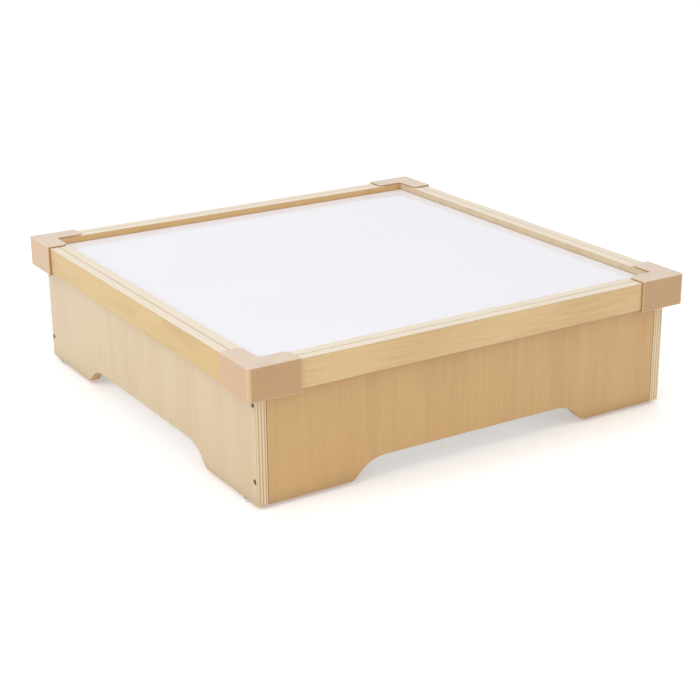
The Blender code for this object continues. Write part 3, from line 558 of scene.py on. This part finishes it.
def make_screws(steel):
    """Cross-recessed heads; each screw faces out along the axis it was driven on."""
    for node in [name for name in frame["nodes"] if "screw" in name]:
        low, high = (Vector(corner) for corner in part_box(node))
        size = high - low
        axis = max(range(3), key=lambda i: size[i])
        bm = solid_copy(node)
        wide_low = spread_at(bm, axis, low[axis])
        wide_high = spread_at(bm, axis, high[axis])
        sign = 1.0 if wide_high > wide_low else -1.0
        center = (low + high) / 2
        center[axis] = high[axis] if sign > 0 else low[axis]
        direction = Vector([sign if i == axis else 0.0 for i in range(3)])
        cutter = cross_cutter(center, direction)
        piece = finish_piece(node, bm, [steel])
        cut = piece.modifiers.new("recess", "BOOLEAN")
        cut.operation = "DIFFERENCE"
        cut.solver = "EXACT"
        cut.use_self = True
        cut.object = cutter
        bake_modifiers(piece)
        bpy.data.objects.remove(cutter, do_unlink=True)


def spread_at(bm, axis, level):
    """How wide a screw is at one of its ends."""
    other = (axis + 1) % 3
    row = [vert.co[other] for vert in bm.verts if abs(vert.co[axis] - level) < 1e-5]
    return max(row) - min(row) if row else 0.0


def bake_modifiers(piece):
    bpy.context.view_layer.update()
    evaluated = piece.evaluated_get(bpy.context.evaluated_depsgraph_get())
    mesh = bpy.data.meshes.new_from_object(evaluated, preserve_all_data_layers=True,
                                           depsgraph=bpy.context.evaluated_depsgraph_get())
    piece.modifiers.clear()
    piece.data = mesh


# ---- LED chips on their strips ----
CHIP_PITCH = 0.0167
CHIP_SIZE = (0.0050, 0.0050, 0.0014)
WINDOW_MARGIN = 0.0008
WINDOW_DEPTH = 0.0002


def make_led_chips(white, phosphor):
    """A row of chips on each strip, each a white body with a phosphor window."""
    for node in [name for name in frame["nodes"] if name.startswith("led_strip")]:
        low, high = (Vector(corner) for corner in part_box(node))
        middle = (low + high) / 2
        count = int((high.x - low.x) / CHIP_PITCH)
        bm = bmesh.new()
        for number in range(count):
            x = middle.x + (number - (count - 1) / 2) * CHIP_PITCH
            base = Vector((x, middle.y, high.z + CHIP_SIZE[2] / 2))
            made = bmesh.ops.create_cube(bm, size=1.0, matrix=Matrix.Translation(base)
                                         @ Matrix.Diagonal((*CHIP_SIZE, 1.0)))["verts"]
            faces = {face for vert in made for face in vert.link_faces}
            top = max(faces, key=lambda face: face.calc_center_median().z)
            inset = bmesh.ops.inset_individual(bm, faces=[top], thickness=WINDOW_MARGIN,
                                               depth=-WINDOW_DEPTH)
            top.material_index = 1
            for face in inset["faces"]:
                face.material_index = 0
        mesh = bpy.data.meshes.new(node + "_chips")
        bm.to_mesh(mesh)
        bm.free()
        mesh.materials.append(white)
        mesh.materials.append(phosphor)
        piece = bpy.data.objects.new(node + "_chips", mesh)
        bpy.context.scene.collection.objects.link(piece)
        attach(piece, TABLE)


# ---- Stage ----
def make_floor():
    """A white sweep just under the glides; it shows only its upper side."""
    make = Shader("studio_floor")
    faint = make.noise(even(1.5), 3.0, 0.5)
    color = make.ramp(faint, [(0.3, (0.90, 0.90, 0.90)), (0.7, (0.92, 0.92, 0.92))])
    make.set(base_color=color, roughness=0.8, emission_strength=FLOOR_GLOW)
    make.surface.inputs["Emission Color"].default_value = (1.0, 1.0, 1.0, 1.0)
    below = make.node("ShaderNodeNewGeometry").outputs["Backfacing"]
    clear = make.node("ShaderNodeBsdfTransparent").outputs[0]
    shown = make.node("ShaderNodeMixShader", {0: below, 1: make.surface.outputs[0], 2: clear})
    make.feed(make.tree.nodes["Material Output"].inputs["Surface"], shown.outputs[0])
    bm = bmesh.new()
    bmesh.ops.create_grid(bm, x_segments=4, y_segments=4, size=FLOOR_SIZE,
                          matrix=Matrix.Translation((0, 0, -FLOOR_DROP)))
    mesh = bpy.data.meshes.new("floor")
    bm.to_mesh(mesh)
    bm.free()
    mesh.materials.append(make.material)
    floor = bpy.data.objects.new("floor", mesh)
    bpy.context.scene.collection.objects.link(floor)


def softbox(name, place, side, energy):
    data = bpy.data.lights.new(name, "AREA")
    data.shape = "RECTANGLE"
    data.size = side
    data.size_y = side
    data.energy = energy
    light = bpy.data.objects.new(name, data)
    light.location = place
    light.rotation_euler = (Vector(place) - Vector(LIGHT_AIM)).to_track_quat("Z", "Y").to_euler()
    bpy.context.scene.collection.objects.link(light)


def make_studio():
    world = bpy.data.worlds.new("studio")
    world.use_nodes = True
    background = world.node_tree.nodes["Background"]
    background.inputs["Color"].default_value = (*WORLD_COLOR, 1.0)
    background.inputs["Strength"].default_value = WORLD_STRENGTH
    bpy.context.scene.world = world
    for name, (place, side, energy) in SOFTBOXES.items():
        softbox(name, place, side, energy)
    bpy.context.scene.view_settings.view_transform = "Standard"
    bpy.context.scene.view_settings.look = "None"


def make_camera():
    data = bpy.data.cameras.new("camera")
    data.lens = CAMERA_LENS
    data.sensor_width = CAMERA_SENSOR
    data.clip_end = CAMERA_REACH
    camera = bpy.data.objects.new("camera", data)
    turn = (Matrix.Rotation(-math.radians(CAMERA_AZIMUTH), 4, "Z")
            @ Matrix.Rotation(math.radians(90.0 - CAMERA_TILT), 4, "X")
            @ Matrix.Rotation(math.radians(CAMERA_ROLL), 4, "Z"))
    camera.matrix_world = Matrix.Translation(CAMERA_PLACE) @ turn
    bpy.context.scene.collection.objects.link(camera)
    bpy.context.scene.camera = camera


EXTRUDED = (30.0, 1500.0, 1500.0)    # die lines along X, per metre


def slot_materials():
    """One material for each of the record's slots that a single look covers."""
    return {
        "opal_acrylic": opal_acrylic(),
        "pine_strip": pine_strip(),
        "white_board": white_board(),
        "glide_plastic": moulded("glide_plastic", (0.62, 0.62, 0.60), (0.54, 0.54, 0.52), 0.40),
        "aluminium": metal("aluminium", (0.78, 0.78, 0.79), (0.66, 0.66, 0.68), 0.34, 1.0, EXTRUDED),
        "led_board": moulded("led_board", (0.82, 0.82, 0.80), (0.76, 0.76, 0.74), 0.40),
        "black_plastic": moulded("black_plastic", (0.028, 0.028, 0.029), (0.020, 0.020, 0.021), 0.45),
        "lead_jacket": moulded("lead_jacket", (0.035, 0.034, 0.033), (0.022, 0.022, 0.022), 0.55, 900.0),
    }


def main():
    make_camera()
    make_studio()
    make_floor()
    steel = metal("dark_steel", (0.200, 0.135, 0.075), (0.110, 0.075, 0.045), 0.42, 0.75)
    materials = slot_materials()
    make_panels_and_trim()
    # The second guard material paints the rounded edges lighter as a painted highlight.
    make_guards([guard_plastic("guard_plastic", *GUARD_BODY),
                 guard_plastic("guard_edge_highlight", *GUARD_EDGE_HIGHLIGHT)])
    make_small_solids(materials)
    make_screws(steel)
    phosphor = moulded("phosphor", (0.80, 0.62, 0.10), (0.72, 0.54, 0.08), 0.50)
    make_led_chips(materials["led_board"], phosphor)


main()
